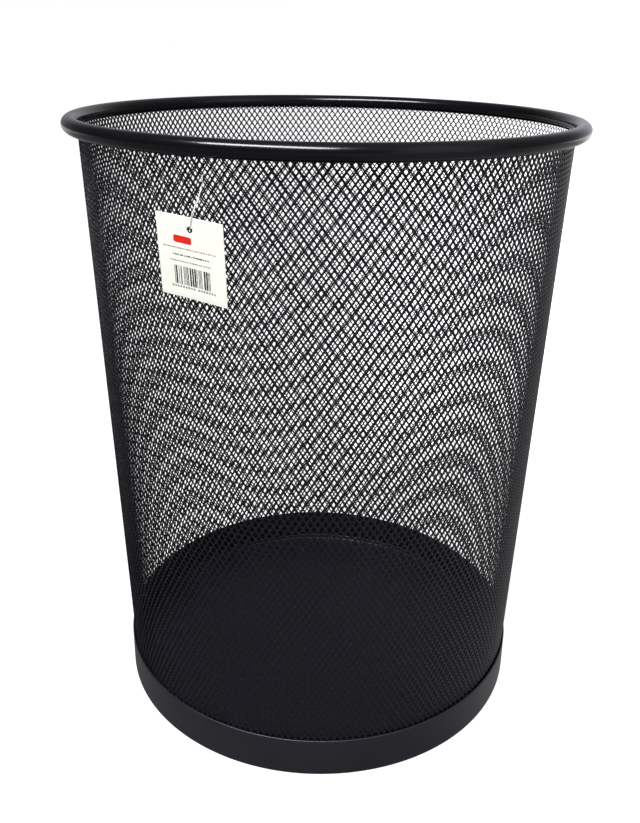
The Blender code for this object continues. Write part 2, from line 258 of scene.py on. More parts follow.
def powder_coat(name, colour, rough, rough_var, peel, peel_scale, spec=0.5, dust=0.0, coat=0.0, tint=(0.84, 0.83, 1.0)):
    """Baked black coating: orange-peel bump, cloudy roughness, faint colour drift and dust."""
    mat, nt, bsdf = new_material(name)
    tex = node(nt, "ShaderNodeTexCoord")
    mapping = node(nt, "ShaderNodeMapping")
    nt.links.new(tex.outputs["Object"], mapping.inputs["Vector"])
    vec = mapping.outputs["Vector"]
    peel_n = node(nt, "ShaderNodeTexNoise", Scale=peel_scale, Detail=3.0, Roughness=0.55)
    grain = node(nt, "ShaderNodeTexNoise", Scale=peel_scale * 4.5, Detail=2.0, Roughness=0.6)
    cloud = node(nt, "ShaderNodeTexNoise", Scale=26.0, Detail=4.0, Roughness=0.6)
    for n in (peel_n, grain, cloud):
        nt.links.new(vec, n.inputs["Vector"])
    lo = tuple(c * 0.82 for c in colour)
    hi = tuple(c * 1.22 for c in colour)
    base = ramp(nt, cloud.outputs["Fac"], [(0.3, lo), (0.7, hi)])
    if dust > 0.0:
        specks = node(nt, "ShaderNodeTexNoise", Scale=2600.0, Detail=1.0)
        nt.links.new(vec, specks.inputs["Vector"])
        mask = ramp(nt, specks.outputs["Fac"], [(0.70, grey(0.0)), (0.78, grey(dust))])
        mix = node(nt, "ShaderNodeMix", data_type="RGBA")
        nt.links.new(mask, mix.inputs["Factor"])
        nt.links.new(base, mix.inputs["A"])
        mix.inputs["B"].default_value = (0.22, 0.22, 0.22, 1)
        base = mix.outputs["Result"]
    nt.links.new(base, bsdf.inputs["Base Color"])
    r = ramp(nt, cloud.outputs["Fac"], [(0.25, grey(max(0.02, rough - rough_var))), (0.75, grey(rough + rough_var))])
    nt.links.new(r, bsdf.inputs["Roughness"])
    add = node(nt, "ShaderNodeMath", operation="MULTIPLY_ADD")
    nt.links.new(grain.outputs["Fac"], add.inputs[0])
    add.inputs[1].default_value = 0.25
    nt.links.new(peel_n.outputs["Fac"], add.inputs[2])
    bump = node(nt, "ShaderNodeBump", Strength=peel, Distance=0.00012)
    nt.links.new(add.outputs[0], bump.inputs["Height"])
    nt.links.new(bump.outputs["Normal"], bsdf.inputs["Normal"])
    bsdf.inputs["Specular IOR Level"].default_value = spec
    bsdf.inputs["Specular Tint"].default_value = (*tint, 1)
    bsdf.inputs["Coat Weight"].default_value = coat
    bsdf.inputs["Coat Roughness"].default_value = 0.12
    return mat


def card_material(name):
    """Uncoated white card: fibre mottling and fine tooth."""
    mat, nt, bsdf = new_material(name)
    tex = node(nt, "ShaderNodeTexCoord")
    vec = tex.outputs["Object"]
    fibre = node(nt, "ShaderNodeTexNoise", Scale=900.0, Detail=5.0, Roughness=0.7, Distortion=1.4)
    tone = node(nt, "ShaderNodeTexNoise", Scale=60.0, Detail=3.0)
    nt.links.new(vec, fibre.inputs["Vector"])
    nt.links.new(vec, tone.inputs["Vector"])
    base = ramp(nt, tone.outputs["Fac"], [(0.3, (0.83, 0.83, 0.755)), (0.7, (0.89, 0.89, 0.815))])
    nt.links.new(base, bsdf.inputs["Base Color"])
    rough = ramp(nt, fibre.outputs["Fac"], [(0.3, grey(0.62)), (0.7, grey(0.80))])
    nt.links.new(rough, bsdf.inputs["Roughness"])
    bump = node(nt, "ShaderNodeBump", Strength=0.25, Distance=0.00005)
    nt.links.new(fibre.outputs["Fac"], bump.inputs["Height"])
    nt.links.new(bump.outputs["Normal"], bsdf.inputs["Normal"])
    bsdf.inputs["Specular IOR Level"].default_value = 0.35
    return mat


def ink_material(name, colour, rough=0.55):
    """Printing ink with slight mottling where the card's tooth shows through."""
    mat, nt, bsdf = new_material(name)
    tex = node(nt, "ShaderNodeTexCoord")
    mott = node(nt, "ShaderNodeTexNoise", Scale=1400.0, Detail=3.0)
    nt.links.new(tex.outputs["Object"], mott.inputs["Vector"])
    lo = tuple(c * 0.85 for c in colour)
    hi = tuple(min(1.0, c * 1.15 + 0.02) for c in colour)
    nt.links.new(ramp(nt, mott.outputs["Fac"], [(0.3, lo), (0.75, hi)]), bsdf.inputs["Base Color"])
    bsdf.inputs["Roughness"].default_value = rough
    bsdf.inputs["Specular IOR Level"].default_value = 0.2
    return mat


def thread_material(name):
    """Matte cotton: fine fibre noise and a soft sheen."""
    mat, nt, bsdf = new_material(name)
    tex = node(nt, "ShaderNodeTexCoord")
    fib = node(nt, "ShaderNodeTexNoise", Scale=5200.0, Detail=4.0, Roughness=0.7)
    nt.links.new(tex.outputs["Object"], fib.inputs["Vector"])
    nt.links.new(ramp(nt, fib.outputs["Fac"], [(0.3, (0.62, 0.61, 0.57)), (0.7, (0.86, 0.85, 0.82))]), bsdf.inputs["Base Color"])
    bsdf.inputs["Roughness"].default_value = 0.9
    bsdf.inputs["Sheen Weight"].default_value = 0.4
    bump = node(nt, "ShaderNodeBump", Strength=0.6, Distance=0.00008)
    nt.links.new(fib.outputs["Fac"], bump.inputs["Height"])
    nt.links.new(bump.outputs["Normal"], bsdf.inputs["Normal"])
    return mat


rim_mat = powder_coat("rim_gloss_black", (0.0025, 0.0025, 0.0036), 0.19, 0.015, 0.025, 900.0, spec=0.32, dust=0.0, coat=0.0, tint=(0.96, 0.96, 1.0))
mesh_mat = powder_coat("mesh_powder_black", (0.0035, 0.0033, 0.0045), 0.34, 0.05, 0.20, 1500.0, spec=0.5)
band_mat = powder_coat("band_satin_black", (0.0100, 0.0103, 0.0135), 0.36, 0.05, 0.22, 1100.0, spec=0.5, dust=0.10)
floor_mat = powder_coat("floor_satin_black", (0.0045, 0.0038, 0.0075), 0.42, 0.06, 0.22, 1000.0, spec=0.5, dust=0.12)
card_mat = card_material("card_white")
ink_dark = ink_material("ink_grey_black", (0.035, 0.035, 0.04))
ink_grey = ink_material("ink_mid_grey", (0.22, 0.22, 0.24))
ink_red = ink_material("ink_red", (0.70, 0.012, 0.004), 0.6)
thread_mat = thread_material("thread_cotton")


def finish_piece(ob, mat, body, slot, *replaces):
    ob.data.materials.clear()
    ob.data.materials.append(mat)
    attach(ob, body)
    if replaces:
        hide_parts(*replaces)
    return ob


# ------------------------------------------------------------ the wall: expanded steel lattice
# path of the sheet's mid-surface in (r, z): straight taper, then the bend into the rim's slot
slot_angle = math.radians(225.0)
slot_r = RIM_T - 0.0004
slot_pt = np.array([RIM_CR + slot_r * math.cos(slot_angle), RIM_CZ + slot_r * math.sin(slot_angle)])
into = -np.array([math.cos(slot_angle), math.sin(slot_angle)])
foot = np.array([wall_r(MESH_FOOT), MESH_FOOT])
up_w = np.array([TAPER, 1.0]) / math.hypot(TAPER, 1.0)
det = into[0] * up_w[1] - into[1] * up_w[0]
back = ((slot_pt - foot)[0] * up_w[1] - (slot_pt - foot)[1] * up_w[0]) / det
corner = slot_pt - into * back
B = 0.0012
path = [foot]
for t in np.linspace(0, 1, 9):
    path.append((corner - up_w * B) * (1 - t) ** 2 + corner * 2 * t * (1 - t) + (corner + into * B) * t ** 2)
path.append(slot_pt + into * 0.0014)
path = np.array(path)
seg = np.linalg.norm(np.diff(path, axis=0), axis=1)
arc_s = np.concatenate([[0], np.cumsum(seg)])
S_END = arc_s[-1]


def on_path(s):
    s = np.asarray(s, float)
    r = np.interp(s, arc_s, path[:, 0])
    z = np.interp(s, arc_s, path[:, 1])
    e = 0.0004
    dr = np.interp(np.minimum(s + e, S_END), arc_s, path[:, 0]) - np.interp(np.maximum(s - e, 0), arc_s, path[:, 0])
    dz = np.interp(np.minimum(s + e, S_END), arc_s, path[:, 1]) - np.interp(np.maximum(s - e, 0), arc_s, path[:, 1])
    ln = np.hypot(dr, dz)
    return r, z, dz / ln, -dr / ln          # point and outward normal


COLS = 214.5               # columns of diamonds round the wall
STRAND_LOW, STRAND_TOP = 0.003518, 0.003429   # node to node, at the foot and at the mouth
HALF_W = 0.00042           # half the strand's width at its middle
BOND_U, BOND_V = 1.06, 1.25   # how far the bonds are broader than plain crossings
THICK = 0.00024
TILT = 0.00025            # how far a bond's edges stand in and out: the strands lie like louvres
OVER = 2.5                 # columns of overlap at the welded seam
theta_node = math.atan2(NODE.y, NODE.x) % (2 * math.pi)
pitch_a = 2 * math.pi / COLS
seam_at = theta_node - 150 * pitch_a

s_node = (NODE.z - foot[1]) / up_w[1]


def strand_at(z):
    return STRAND_LOW + (STRAND_TOP - STRAND_LOW) * (z - 0.05) / 0.275


def half_pitch(s):
    r, z = [float(v) for v in on_path(s)[:2]]
    return math.sqrt(strand_at(z) ** 2 - (pitch_a * r / 2) ** 2)


rows = [s_node]
while rows[0] - half_pitch(rows[0]) > 0.0004:
    rows.insert(0, rows[0] - half_pitch(rows[0]))
node_row = len(rows) - 1
while rows[-1] + half_pitch(rows[-1]) < S_END - 0.0003:
    rows.append(rows[-1] + half_pitch(rows[-1]))
rows = np.array(rows)
K = len(rows)
C = int(round(COLS + OVER))
M = C + 1                                      # nodes on a full row
parity = (np.arange(K) - node_row) % 2         # odd rows sit half a column on
idx = np.arange(M)
col = idx[None, :] + 0.5 * parity[:, None]
exists = col <= C + 1e-6

r_k, z_k, nr_k, nz_k = on_path(rows)
psi = np.arcsin(np.clip(pitch_a * r_k / 2 / strand_at(z_k), -1, 1))
half_u = BOND_U * HALF_W / np.cos(psi)
half_v = np.minimum(BOND_V * HALF_W / np.sin(psi), 0.0012)
rng = np.random.default_rng(7)
# a hand-sized irregularity: the sheet is never perfectly even
wob_u = 0.000022 * rng.standard_normal((K, M))
wob_v = 0.000022 * rng.standard_normal((K, M))


def lattice_vertex(du, dv, dw, at_s=None, at_col=None):
    """World points for an offset (du across, dv up, dw out) from each node. Arrays are (K, M)."""
    at_s = rows[:, None] + wob_v if at_s is None else at_s
    at_col = col + wob_u / (pitch_a * r_k[:, None]) if at_col is None else at_col
    s = np.clip(at_s + dv, 0.0, S_END)
    r, z, nr, nz = on_path(s)
    phi = seam_at + at_col * pitch_a + du / r
    lap = np.clip((at_col - (COLS - 13.0)) / 12.0, 0.0, 1.0)
    lift = 0.00052 * lap * lap * (3 - 2 * lap)
    low = np.clip((0.024 - z) / 0.006, 0, 1)
    lift = lift * (1 - 0.35 * low)
    R = r + nr * (dw + lift)
    Z = z + nz * (dw + lift)
    return np.stack([R * np.cos(phi), R * np.sin(phi), Z], -1)


zero = np.zeros((K, 1)) + np.zeros((K, M))
hu = half_u[:, None] + zero
hv = half_v[:, None] + zero
corner_offsets = [(hu, zero, TILT), (zero, hv, 0.0), (-hu, zero, -TILT), (zero, -hv, 0.0)]   # right, top, left, bottom
V = np.empty((K, M, 8, 3))
for n_c, (du, dv, w) in enumerate(corner_offsets):
    V[:, :, n_c] = lattice_vertex(du, dv, w + THICK / 2)
    V[:, :, n_c + 4] = lattice_vertex(du, dv, w - THICK / 2)
ids = (np.arange(K)[:, None] * M + idx[None, :])


def vid(nid, c):
    return nid * 8 + c


R_, T_, L_, B_ = 0, 1, 2, 3
SECTORS = 6
sector_of = np.minimum((idx * SECTORS) // M, SECTORS - 1)
sec = np.broadcast_to(sector_of[None, :], (K, M))


def targets(side):
    """For each node, the index of its upper neighbour on one side (+1 right, -1 left), or -1."""
    k = np.arange(K)[:, None]
    if side > 0:
        j = idx[None, :] + parity[:, None]
    else:
        j = idx[None, :] + parity[:, None] - 1
    ok = exists & (k + 1 < K) & (j >= 0) & (j < M)
    jj = np.clip(j, 0, M - 1)
    kk = np.minimum(k + 1, K - 1)
    ok = ok & exists[kk, jj]
    return np.where(ok, kk * M + jj, -1)


ne, nw = targets(+1), targets(-1)
# the waist of each strand: four more points half way to the neighbour
node_s = (rows[:, None] + wob_v).reshape(-1)
node_col = (col + wob_u / (pitch_a * r_k[:, None])).reshape(-1)
psi_n = psi[:, None] + zero
waist = []
for tgt, sgn in ((ne, 1.0), (nw, -1.0)):
    j = np.maximum(tgt, 0)
    mid_s = (node_s.reshape(K, M) + node_s[j]) / 2
    mid_col = (node_col.reshape(K, M) + node_col[j]) / 2
    W4 = np.empty((K, M, 4, 3))
    du, dv = HALF_W * np.cos(psi_n), -sgn * HALF_W * np.sin(psi_n)
    W4[:, :, 0] = lattice_vertex(du, dv, 0.7 * TILT + THICK / 2, mid_s, mid_col)
    W4[:, :, 1] = lattice_vertex(-du, -dv, -0.7 * TILT + THICK / 2, mid_s, mid_col)
    W4[:, :, 2] = lattice_vertex(du, dv, 0.7 * TILT - THICK / 2, mid_s, mid_col)
    W4[:, :, 3] = lattice_vertex(-du, -dv, -0.7 * TILT - THICK / 2, mid_s, mid_col)
    waist.append(W4.reshape(-1, 3))
flat = np.concatenate([V.reshape(-1, 3)] + waist)
incoming_sw = np.full(K * M, -1)      # node below on the left, whose NE strand comes here
incoming_se = np.full(K * M, -1)
a = ids[ne >= 0]
incoming_sw[ne[ne >= 0]] = a
a = ids[nw >= 0]
incoming_se[nw[nw >= 0]] = a
sec_flat = sec.reshape(-1)


def quad(*corners):
    return np.stack(corners, -1)


def strand_faces(kind, A, Bn):
    """The eight faces of each strand from node A up to node Bn, and its two end corners at Bn."""
    if kind == "ne":
        a1, b1, b2, a2, base = vid(A, R_), vid(Bn, B_), vid(Bn, L_), vid(A, T_), K * M * 8
    else:
        a1, b1, b2, a2, base = vid(A, T_), vid(Bn, R_), vid(Bn, B_), vid(A, L_), K * M * 12
    m1, m2, g1, g2 = base + A * 4, base + A * 4 + 1, base + A * 4 + 2, base + A * 4 + 3
    return [quad(a1, m1, m2, a2), quad(m1, b1, b2, m2),
            quad(a2 + 4, g2, g1, a1 + 4), quad(g2, b2 + 4, b1 + 4, g1),
            quad(m1, a1, a1 + 4, g1), quad(b1, m1, g1, b1 + 4),
            quad(a2, m2, g2, a2 + 4), quad(m2, b2, b2 + 4, g2)], b1, b2


# normals of the whole lattice, so that the pieces meet without a line
every = []
for tgt, kind in ((ne, "ne"), (nw, "nw")):
    has = exists & (tgt >= 0)
    every += strand_faces(kind, ids[has], tgt[has])[0]
n_all = ids[exists]
every.append(quad(vid(n_all, R_), vid(n_all, T_), vid(n_all, L_), vid(n_all, B_)))
every.append(quad(vid(n_all, B_ + 4), vid(n_all, L_ + 4), vid(n_all, T_ + 4), vid(n_all, R_ + 4)))
every = np.concatenate(every)
fn = np.cross(flat[every[:, 2]] - flat[every[:, 0]], flat[every[:, 3]] - flat[every[:, 1]])
fn /= np.maximum(np.linalg.norm(fn, axis=1), 1e-20)[:, None]
normals = np.zeros_like(flat)
for c_ in range(4):
    np.add.at(normals, every[:, c_], fn)
normals /= np.maximum(np.linalg.norm(normals, axis=1), 1e-20)[:, None]

wall_pieces = []
for sct in range(SECTORS):
    faces = []
    mine = (sec == sct) & exists
    n = ids[mine]
    faces.append(quad(vid(n, R_), vid(n, T_), vid(n, L_), vid(n, B_)))
    faces.append(quad(vid(n, B_ + 4), vid(n, L_ + 4), vid(n, T_ + 4), vid(n, R_ + 4)))
    for tgt, kind in ((ne, "ne"), (nw, "nw")):
        has = mine & (tgt >= 0)
        A, Bn = ids[has], tgt[has]
        made, end1, end2 = strand_faces(kind, A, Bn)
        faces += made
        away = sec_flat[Bn] != sct
        if away.any():
            faces.append(quad(end2[away], end1[away], end1[away] + 4, end2[away] + 4))
        lone = ids[mine & (tgt < 0)]
        e1, e2 = (R_, T_) if kind == "ne" else (T_, L_)
        faces.append(quad(vid(lone, e2), vid(lone, e1), vid(lone, e1 + 4), vid(lone, e2 + 4)))
    for inc, e1, e2 in ((incoming_sw, L_, B_), (incoming_se, B_, R_)):
        src = inc[n]
        openn = (src < 0) | (sec_flat[np.maximum(src, 0)] != sct)
        o = n[openn]
        faces.append(quad(vid(o, e2), vid(o, e1), vid(o, e1 + 4), vid(o, e2 + 4)))
    faces = np.concatenate(faces)
    used, inverse = np.unique(faces.ravel(), return_inverse=True)
    ob = object_from_arrays("mesh_wall_part_%d" % (sct + 1), flat[used], inverse.reshape(-1, 4))
    ob.data.normals_split_custom_set_from_vertices(normals[used].tolist())
    finish_piece(ob, mesh_mat, "basket", "mesh_coat", "mesh_wall")
    wall_pieces.append(ob)

# spot welds down the seam
welds = []
seam_mid = seam_at + 1.2 * pitch_a
for i in range(9):
    z = 0.034 + i * 0.0365
    s = (z - foot[1]) / up_w[1]
    r, zz, nr, nz = [float(x) for x in on_path(s)]
    centre = np.array([(r + 0.0003) * math.cos(seam_mid), (r + 0.0003) * math.sin(seam_mid), zz])
    e_r = np.array([math.cos(seam_mid), math.sin(seam_mid), -TAPER])
    e_r /= np.linalg.norm(e_r)
    e_t = np.array([-math.sin(seam_mid), math.cos(seam_mid), 0.0])
    e_u = np.cross(e_r, e_t)
    rings = [(0.0, 0.00050), (0.0006, 0.00044), (0.0011, 0.00052), (0.00135, 0.00048), (0.0015, 0.0003),
             (0.0015, -0.0003), (0.00135, -0.00046), (0.0007, -0.0005), (0.0, -0.00052)]
    sides = 20
    vv, qq, tt = [], [], []
    for rr, h in rings:
        if rr == 0.0:
            vv.append(centre + e_r * h)
        else:
            for j in range(sides):
                an = 2 * math.pi * j / sides
                vv.append(centre + e_r * h + (e_t * math.cos(an) + e_u * math.sin(an)) * rr)
    for j in range(sides):
        j2 = (j + 1) % sides
        tt.append((0, 1 + j, 1 + j2))
        for q in range(len(rings) - 3):
            b0, b1 = 1 + q * sides, 1 + (q + 1) * sides
            qq.append((b0 + j, b1 + j, b1 + j2, b0 + j2))
        last = 1 + (len(rings) - 3) * sides
        tt.append((last + j, len(vv) - 1, last + j2))
    welds.append((np.array(vv), np.array(qq), np.array(tt)))
ob = object_from_arrays("seam_spot_welds", *join_arrays(welds))
clean(ob)
finish_piece(ob, mesh_mat, "basket", "mesh_coat")

# ------------------------------------------------------------ rim
weld_at = seam_at + 0.35 * pitch_a


def rim_shape(phi, r, z):
    """A closed butt weld: a low bead round the tube, ground almost flush."""
    d = (np.angle(np.exp(1j * (phi - weld_at)))) * RIM_CR
    bead = 0.00016 * np.exp(-(d / 0.0009) ** 2) - 0.00008 * (np.exp(-((d - 0.0022) / 0.0009) ** 2) + np.exp(-((d + 0.0022) / 0.0009) ** 2))
    dr, dz = r - RIM_CR, z - RIM_CZ
    rad = np.hypot(dr, dz)
    return r + dr / rad * bead, z + dz / rad * bead


half = 13.0
profile = arc(RIM_CR, RIM_CZ, RIM_T, 225 - half, 225 + half - 360, 44)
profile += arc(RIM_CR, RIM_CZ, RIM_T - 0.0004, 225 + half - 360 - 3.5, 225 + half - 360 - 3.5, 1)[:1]
profile += arc(RIM_CR, RIM_CZ, RIM_T - 0.0008, 225 + half - 360, 225 - half, 20)
profile += arc(RIM_CR, RIM_CZ, RIM_T - 0.0004, 225 - half + 3.5, 225 - half + 3.5, 1)[:1]
rim = revolve("rim_rolled_tube", profile, 360, shape=rim_shape)
finish_piece(rim, rim_mat, "basket", "rim_gloss", "rim_tube")

# ------------------------------------------------------------ base band
t = 0.0008
c = 0.0012
ci = 0.0005
flange_r = 0.1135
slope = (BAND_TOP_R - BAND_LOW_R) / BAND_H
lean = math.degrees(math.atan(slope))
prof = arc(BAND_TOP_R - t / 2, BAND_H - t / 2, t / 2, 180, 0, 8)
for i in range(1, 8):
    f = i / 8.0
    zz = (BAND_H - t / 2) * (1 - f) + c * f
    prof.append((BAND_LOW_R + slope * zz, zz))
prof += arc(BAND_LOW_R - c, c, c, 0, -90, 6)
prof += arc(flange_r + t / 2, t / 2, t / 2, -90, -270, 6)
prof += arc(BAND_LOW_R - t - ci, t + ci, ci, -90, 0, 4)
for i in range(1, 5):
    f = i / 5.0
    zz = (t + ci) * (1 - f) + (BAND_H - t / 2) * f
    prof.append((BAND_LOW_R + slope * zz - t, zz))


def band_shape(phi, r, z):
    """Sheet metal is never a perfect circle: a breath of waviness under the coating."""
    w = 0.00005 * np.sin(3 * phi + 0.7) + 0.00004 * np.sin(7 * phi + 1.9 + 40 * z)
    return r + w, z


band = revolve("base_band_hoop", prof, 320, shape=band_shape)
finish_piece(band, band_mat, "basket", "band_coat", "base_band")

# lap of the band's end over its start, with two weld dimples
lap_w = 0.011
lap_mid = seam_at + 0.6 * pitch_a
n_u, n_v = 40, 40
lap_t = 0.00045


def lap_point(u, v, out):
    z = 0.0016 + (BAND_H - 0.0022) * v
    r = BAND_LOW_R + slope * z - 0.0001
    d = (u - 0.5) * lap_w
    th = lap_t
    for cz in (0.30, 0.72):
        dd = math.hypot(d, (v - cz) * BAND_H)
        th -= 0.00022 * math.exp(-(dd / 0.0012) ** 2)
    edge = min(u * lap_w, (1 - u) * lap_w, v * BAND_H, (1 - v) * BAND_H)
    th *= min(1.0, 0.25 + edge / 0.0005 * 0.75) if edge < 0.0005 else 1.0
    rr = r + (th if out else -0.0002)
    an = lap_mid + d / BAND_TOP_R
    return (rr * math.cos(an), rr * math.sin(an), z)


vv, qq = [], []
for out in (True, False):
    for i in range(n_u + 1):
        for j in range(n_v + 1):
            vv.append(lap_point(i / n_u, j / n_v, out))
k = (n_u + 1) * (n_v + 1)
at = lambda i, j: i * (n_v + 1) + j
for i in range(n_u):
    for j in range(n_v):
        qq.append((at(i, j), at(i + 1, j), at(i + 1, j + 1), at(i, j + 1)))
        qq.append((k + at(i, j), k + at(i, j + 1), k + at(i + 1, j + 1), k + at(i + 1, j)))
for i in range(n_u):
    qq.append((at(i, 0), k + at(i, 0), k + at(i + 1, 0), at(i + 1, 0)))
    qq.append((at(i + 1, n_v), k + at(i + 1, n_v), k + at(i, n_v), at(i, n_v)))
for j in range(n_v):
    qq.append((at(0, j + 1), k + at(0, j + 1), k + at(0, j), at(0, j)))
    qq.append((at(n_u, j), k + at(n_u, j), k + at(n_u, j + 1), at(n_u, j + 1)))
lap = object_from_arrays("base_band_lap", vv, qq)
clean(lap)
finish_piece(lap, band_mat, "basket", "band_coat")

# ------------------------------------------------------------ floor plate
fz = floor_lo.z
ft = 0.0008
fr = floor_hi.x - 0.00013
lip = floor_hi.z
kr, ki = 0.0016, 0.0008
prof = [(0.0, fz + ft)]
for r in (0.02, 0.05, 0.08, 0.10, fr - kr - 0.002):
    prof.append((r, fz + ft))
prof += arc(fr - kr, fz + kr, ki, -90, 0, 6)
tl = TAPER * (lip - fz - kr)
prof += arc(fr - ft / 2 + tl, lip - ft / 2, ft / 2, 180, 0, 8)
prof += arc(fr - kr, fz + kr, kr, 0, -90, 8)
for r in (fr - kr - 0.002, 0.10, 0.08, 0.05, 0.02):
    prof.append((r, fz))
prof.append((0.0, fz))


def floor_shape(phi, r, z):
    """Thin pressed sheet: oil-canning of a tenth of a millimetre in the middle."""
    f = np.clip(1 - (r / 0.108) ** 2, 0, 1)
    w = 0.00010 * f * (np.sin(2 * phi + 0.4) * (r / 0.108) + 0.6 * np.cos(3 * phi + 1.1) * (r / 0.108) ** 2 + 0.5)
    return r, z + w


plate = revolve("floor_pressed_plate", prof, 240, closed=False, shape=floor_shape)
finish_piece(plate, floor_mat, "basket", "floor_coat", "floor_plate")

# ------------------------------------------------------------ hang tag
upward = Vector((0, 0, 1)) - FACING * FACING.z
upward.normalize()
roll = math.radians(-4.1)
side = upward.cross(FACING).normalized()
across = side * math.cos(roll) + upward * math.sin(roll)
upward = (upward * math.cos(roll) - side * math.sin(roll)).normalized()
across = upward.cross(FACING).normalized()
TAG_W, TAG_H, TAG_T, DOWN, HOLE_R = 0.0370, 0.0415, 0.00036, 0.0062, 0.0016


def card_point(x, y, out):
    """Point on the card: x to the right and y up from the hole, out from the mid-surface. The card bows a little."""
    u = x / (TAG_W / 2)
    v = (DOWN - y) / TAG_H
    bow = 0.00035 * (u * u - 0.3) * (0.35 + 0.65 * v) + 0.00022 * v * v * (1 + 0.5 * u)
    bow *= min(1.0, math.hypot(x, y) / 0.006)
    p = HOLE + across * x + upward * y + FACING * (out + bow)
    return (p.x, p.y, p.z)


def outline_ray(an, inset=0.0):
    """Distance from the hole to the card's rectangular edge in a direction; the caller rounds the corners."""
    dx, dy = math.cos(an), math.sin(an)
    x1, y1, y0 = TAG_W / 2 - inset, DOWN - inset, DOWN - TAG_H + inset
    best = 1e9
    if abs(dx) > 1e-9:
        best = min(best, x1 / abs(dx))
    if dy > 1e-9:
        best = min(best, y1 / dy)
    if dy < -1e-9:
        best = min(best, -y0 / -dy)
    return best


angles = []
for cx, cy in ((TAG_W / 2, DOWN), (-TAG_W / 2, DOWN), (-TAG_W / 2, DOWN - TAG_H), (TAG_W / 2, DOWN - TAG_H)):
    ca = math.atan2(cy, cx)
    angles += [ca - 0.012, ca - 0.004, ca + 0.004, ca + 0.012]
angles += [2 * math.pi * i / 168 for i in range(168)]
angles = sorted(set(round(a % (2 * math.pi), 5) for a in angles))
NA, NR = len(angles), 26
vv, qq = [], []
for out in (TAG_T / 2, -TAG_T / 2):
    for an in angles:
        d = outline_ray(an)
        # rounded corners: pull the ray in slightly next to a corner
        near = min(abs(math.atan2(math.sin(an - math.atan2(cy, cx)), math.cos(an - math.atan2(cy, cx))))
                   for cx, cy in ((TAG_W / 2, DOWN), (-TAG_W / 2, DOWN), (-TAG_W / 2, DOWN - TAG_H), (TAG_W / 2, DOWN - TAG_H)))
        if near < 0.012:
            d -= 0.00028 * (1 - near / 0.012)
        for q in range(NR):
            f = q / (NR - 1)
            rr = HOLE_R + (d - HOLE_R) * f
            o = out
            if q in (0, NR - 1):
                o = out * 0.62
            vv.append(card_point(rr * math.cos(an), rr * math.sin(an), o))
k = NA * NR
for i in range(NA):
    i2 = (i + 1) % NA
    for q in range(NR - 1):
        qq.append((i * NR + q, i * NR + q + 1, i2 * NR + q + 1, i2 * NR + q))
        qq.append((k + i * NR + q, k + i2 * NR + q, k + i2 * NR + q + 1, k + i * NR + q + 1))
    qq.append((i * NR, i2 * NR, k + i2 * NR, k + i * NR))
    e = NR - 1
    qq.append((i * NR + e, k + i * NR + e, k + i2 * NR + e, i2 * NR + e))
card = object_from_arrays("hang_tag_card", vv, qq)
clean(card)
card.data.set_sharp_from_angle(angle=math.radians(40))
finish_piece(card, card_mat, "tag", "card", "hang_tag")


def ink_patch(points_xy, lift=0.00003, sink=0.00002):
    """A printed patch: a grid of (x, y) rows, raised a hair above the card."""
    g = np.asarray(points_xy, float)
    nu, nv = g.shape[:2]
    vv, qq = [], []
    for off in (lift, -sink):
        for i in range(nu):
            for j in range(nv):
                vv.append(card_point(g[i, j, 0], g[i, j, 1], TAG_T / 2 + off))
    k = nu * nv
    at = lambda i, j: i * nv + j
    for i in range(nu - 1):
        for j in range(nv - 1):
            qq.append((at(i, j), at(i + 1, j), at(i + 1, j + 1), at(i, j + 1)))
            qq.append((k + at(i, j), k + at(i, j + 1), k + at(i + 1, j + 1), k + at(i + 1, j)))
    for i in range(nu - 1):
        qq.append((at(i, 0), k + at(i, 0), k + at(i + 1, 0), at(i + 1, 0)))
        qq.append((at(i + 1, nv - 1), k + at(i + 1, nv - 1), k + at(i, nv - 1), at(i, nv - 1)))
    for j in range(nv - 1):
        qq.append((at(0, j + 1), k + at(0, j + 1), k + at(0, j), at(0, j)))
        qq.append((at(nu - 1, j), k + at(nu - 1, j), k + at(nu - 1, j + 1), at(nu - 1, j + 1)))
    return np.array(vv), np.array(qq), np.zeros((0, 3), int)


def ink_rect(x0, y0, x1, y1, step=0.0015):
    nu = max(2, int(abs(x1 - x0) / step) + 2)
    nv = max(2, int(abs(y1 - y0) / step) + 2)
    return ink_patch([[(x0 + (x1 - x0) * i / (nu - 1), y0 + (y1 - y0) * j / (nv - 1)) for j in range(nv)] for i in range(nu)])


def ink_pill(cx, cy, w, h, r, n=30):
    """Rounded rectangle, as vertical slices."""
    cols = []
    for i in range(n + 1):
        x = -w / 2 + w * (0.5 - 0.5 * math.cos(math.pi * i / n))
        d = max(0.0, abs(x) - (w / 2 - r))
        hh = h / 2 - r + math.sqrt(max(0.0, r * r - d * d))
        hh = max(hh, 0.00005)
        cols.append([(cx + x, cy + hh * (2 * j / 6.0 - 1)) for j in range(7)])
    return ink_patch(cols)


rnd = random.Random(11)
dark, mid, red = [], [], []
# generic red mark: a plain rounded bar
red.append(ink_pill(-0.0045, -0.0055, 0.0100, 0.0036, 0.0010))
# rows of small dashes where the small print would be
for y, x0, x1, h, bank in ((-0.0103, -0.0155, 0.0135, 0.00055, mid), (-0.0138, -0.0105, 0.0095, 0.00065, dark),
                           (-0.0169, -0.0125, 0.0110, 0.0005, mid)):
    x = x0
    while x < x1:
        w = rnd.choice((0.0005, 0.0008, 0.0011, 0.0016))
        bank.append(ink_rect(x, y, min(x + w, x1), y + h))
        x += w + rnd.choice((0.00025, 0.00035, 0.0006))
# bars
x = -0.0103
while x < 0.0095:
    w = rnd.choice((0.00034, 0.00034, 0.00060, 0.00090))
    dark.append(ink_rect(x, -0.0286, x + w, -0.0192))
    x += w + rnd.choice((0.00034, 0.00040, 0.00072, 0.0011))
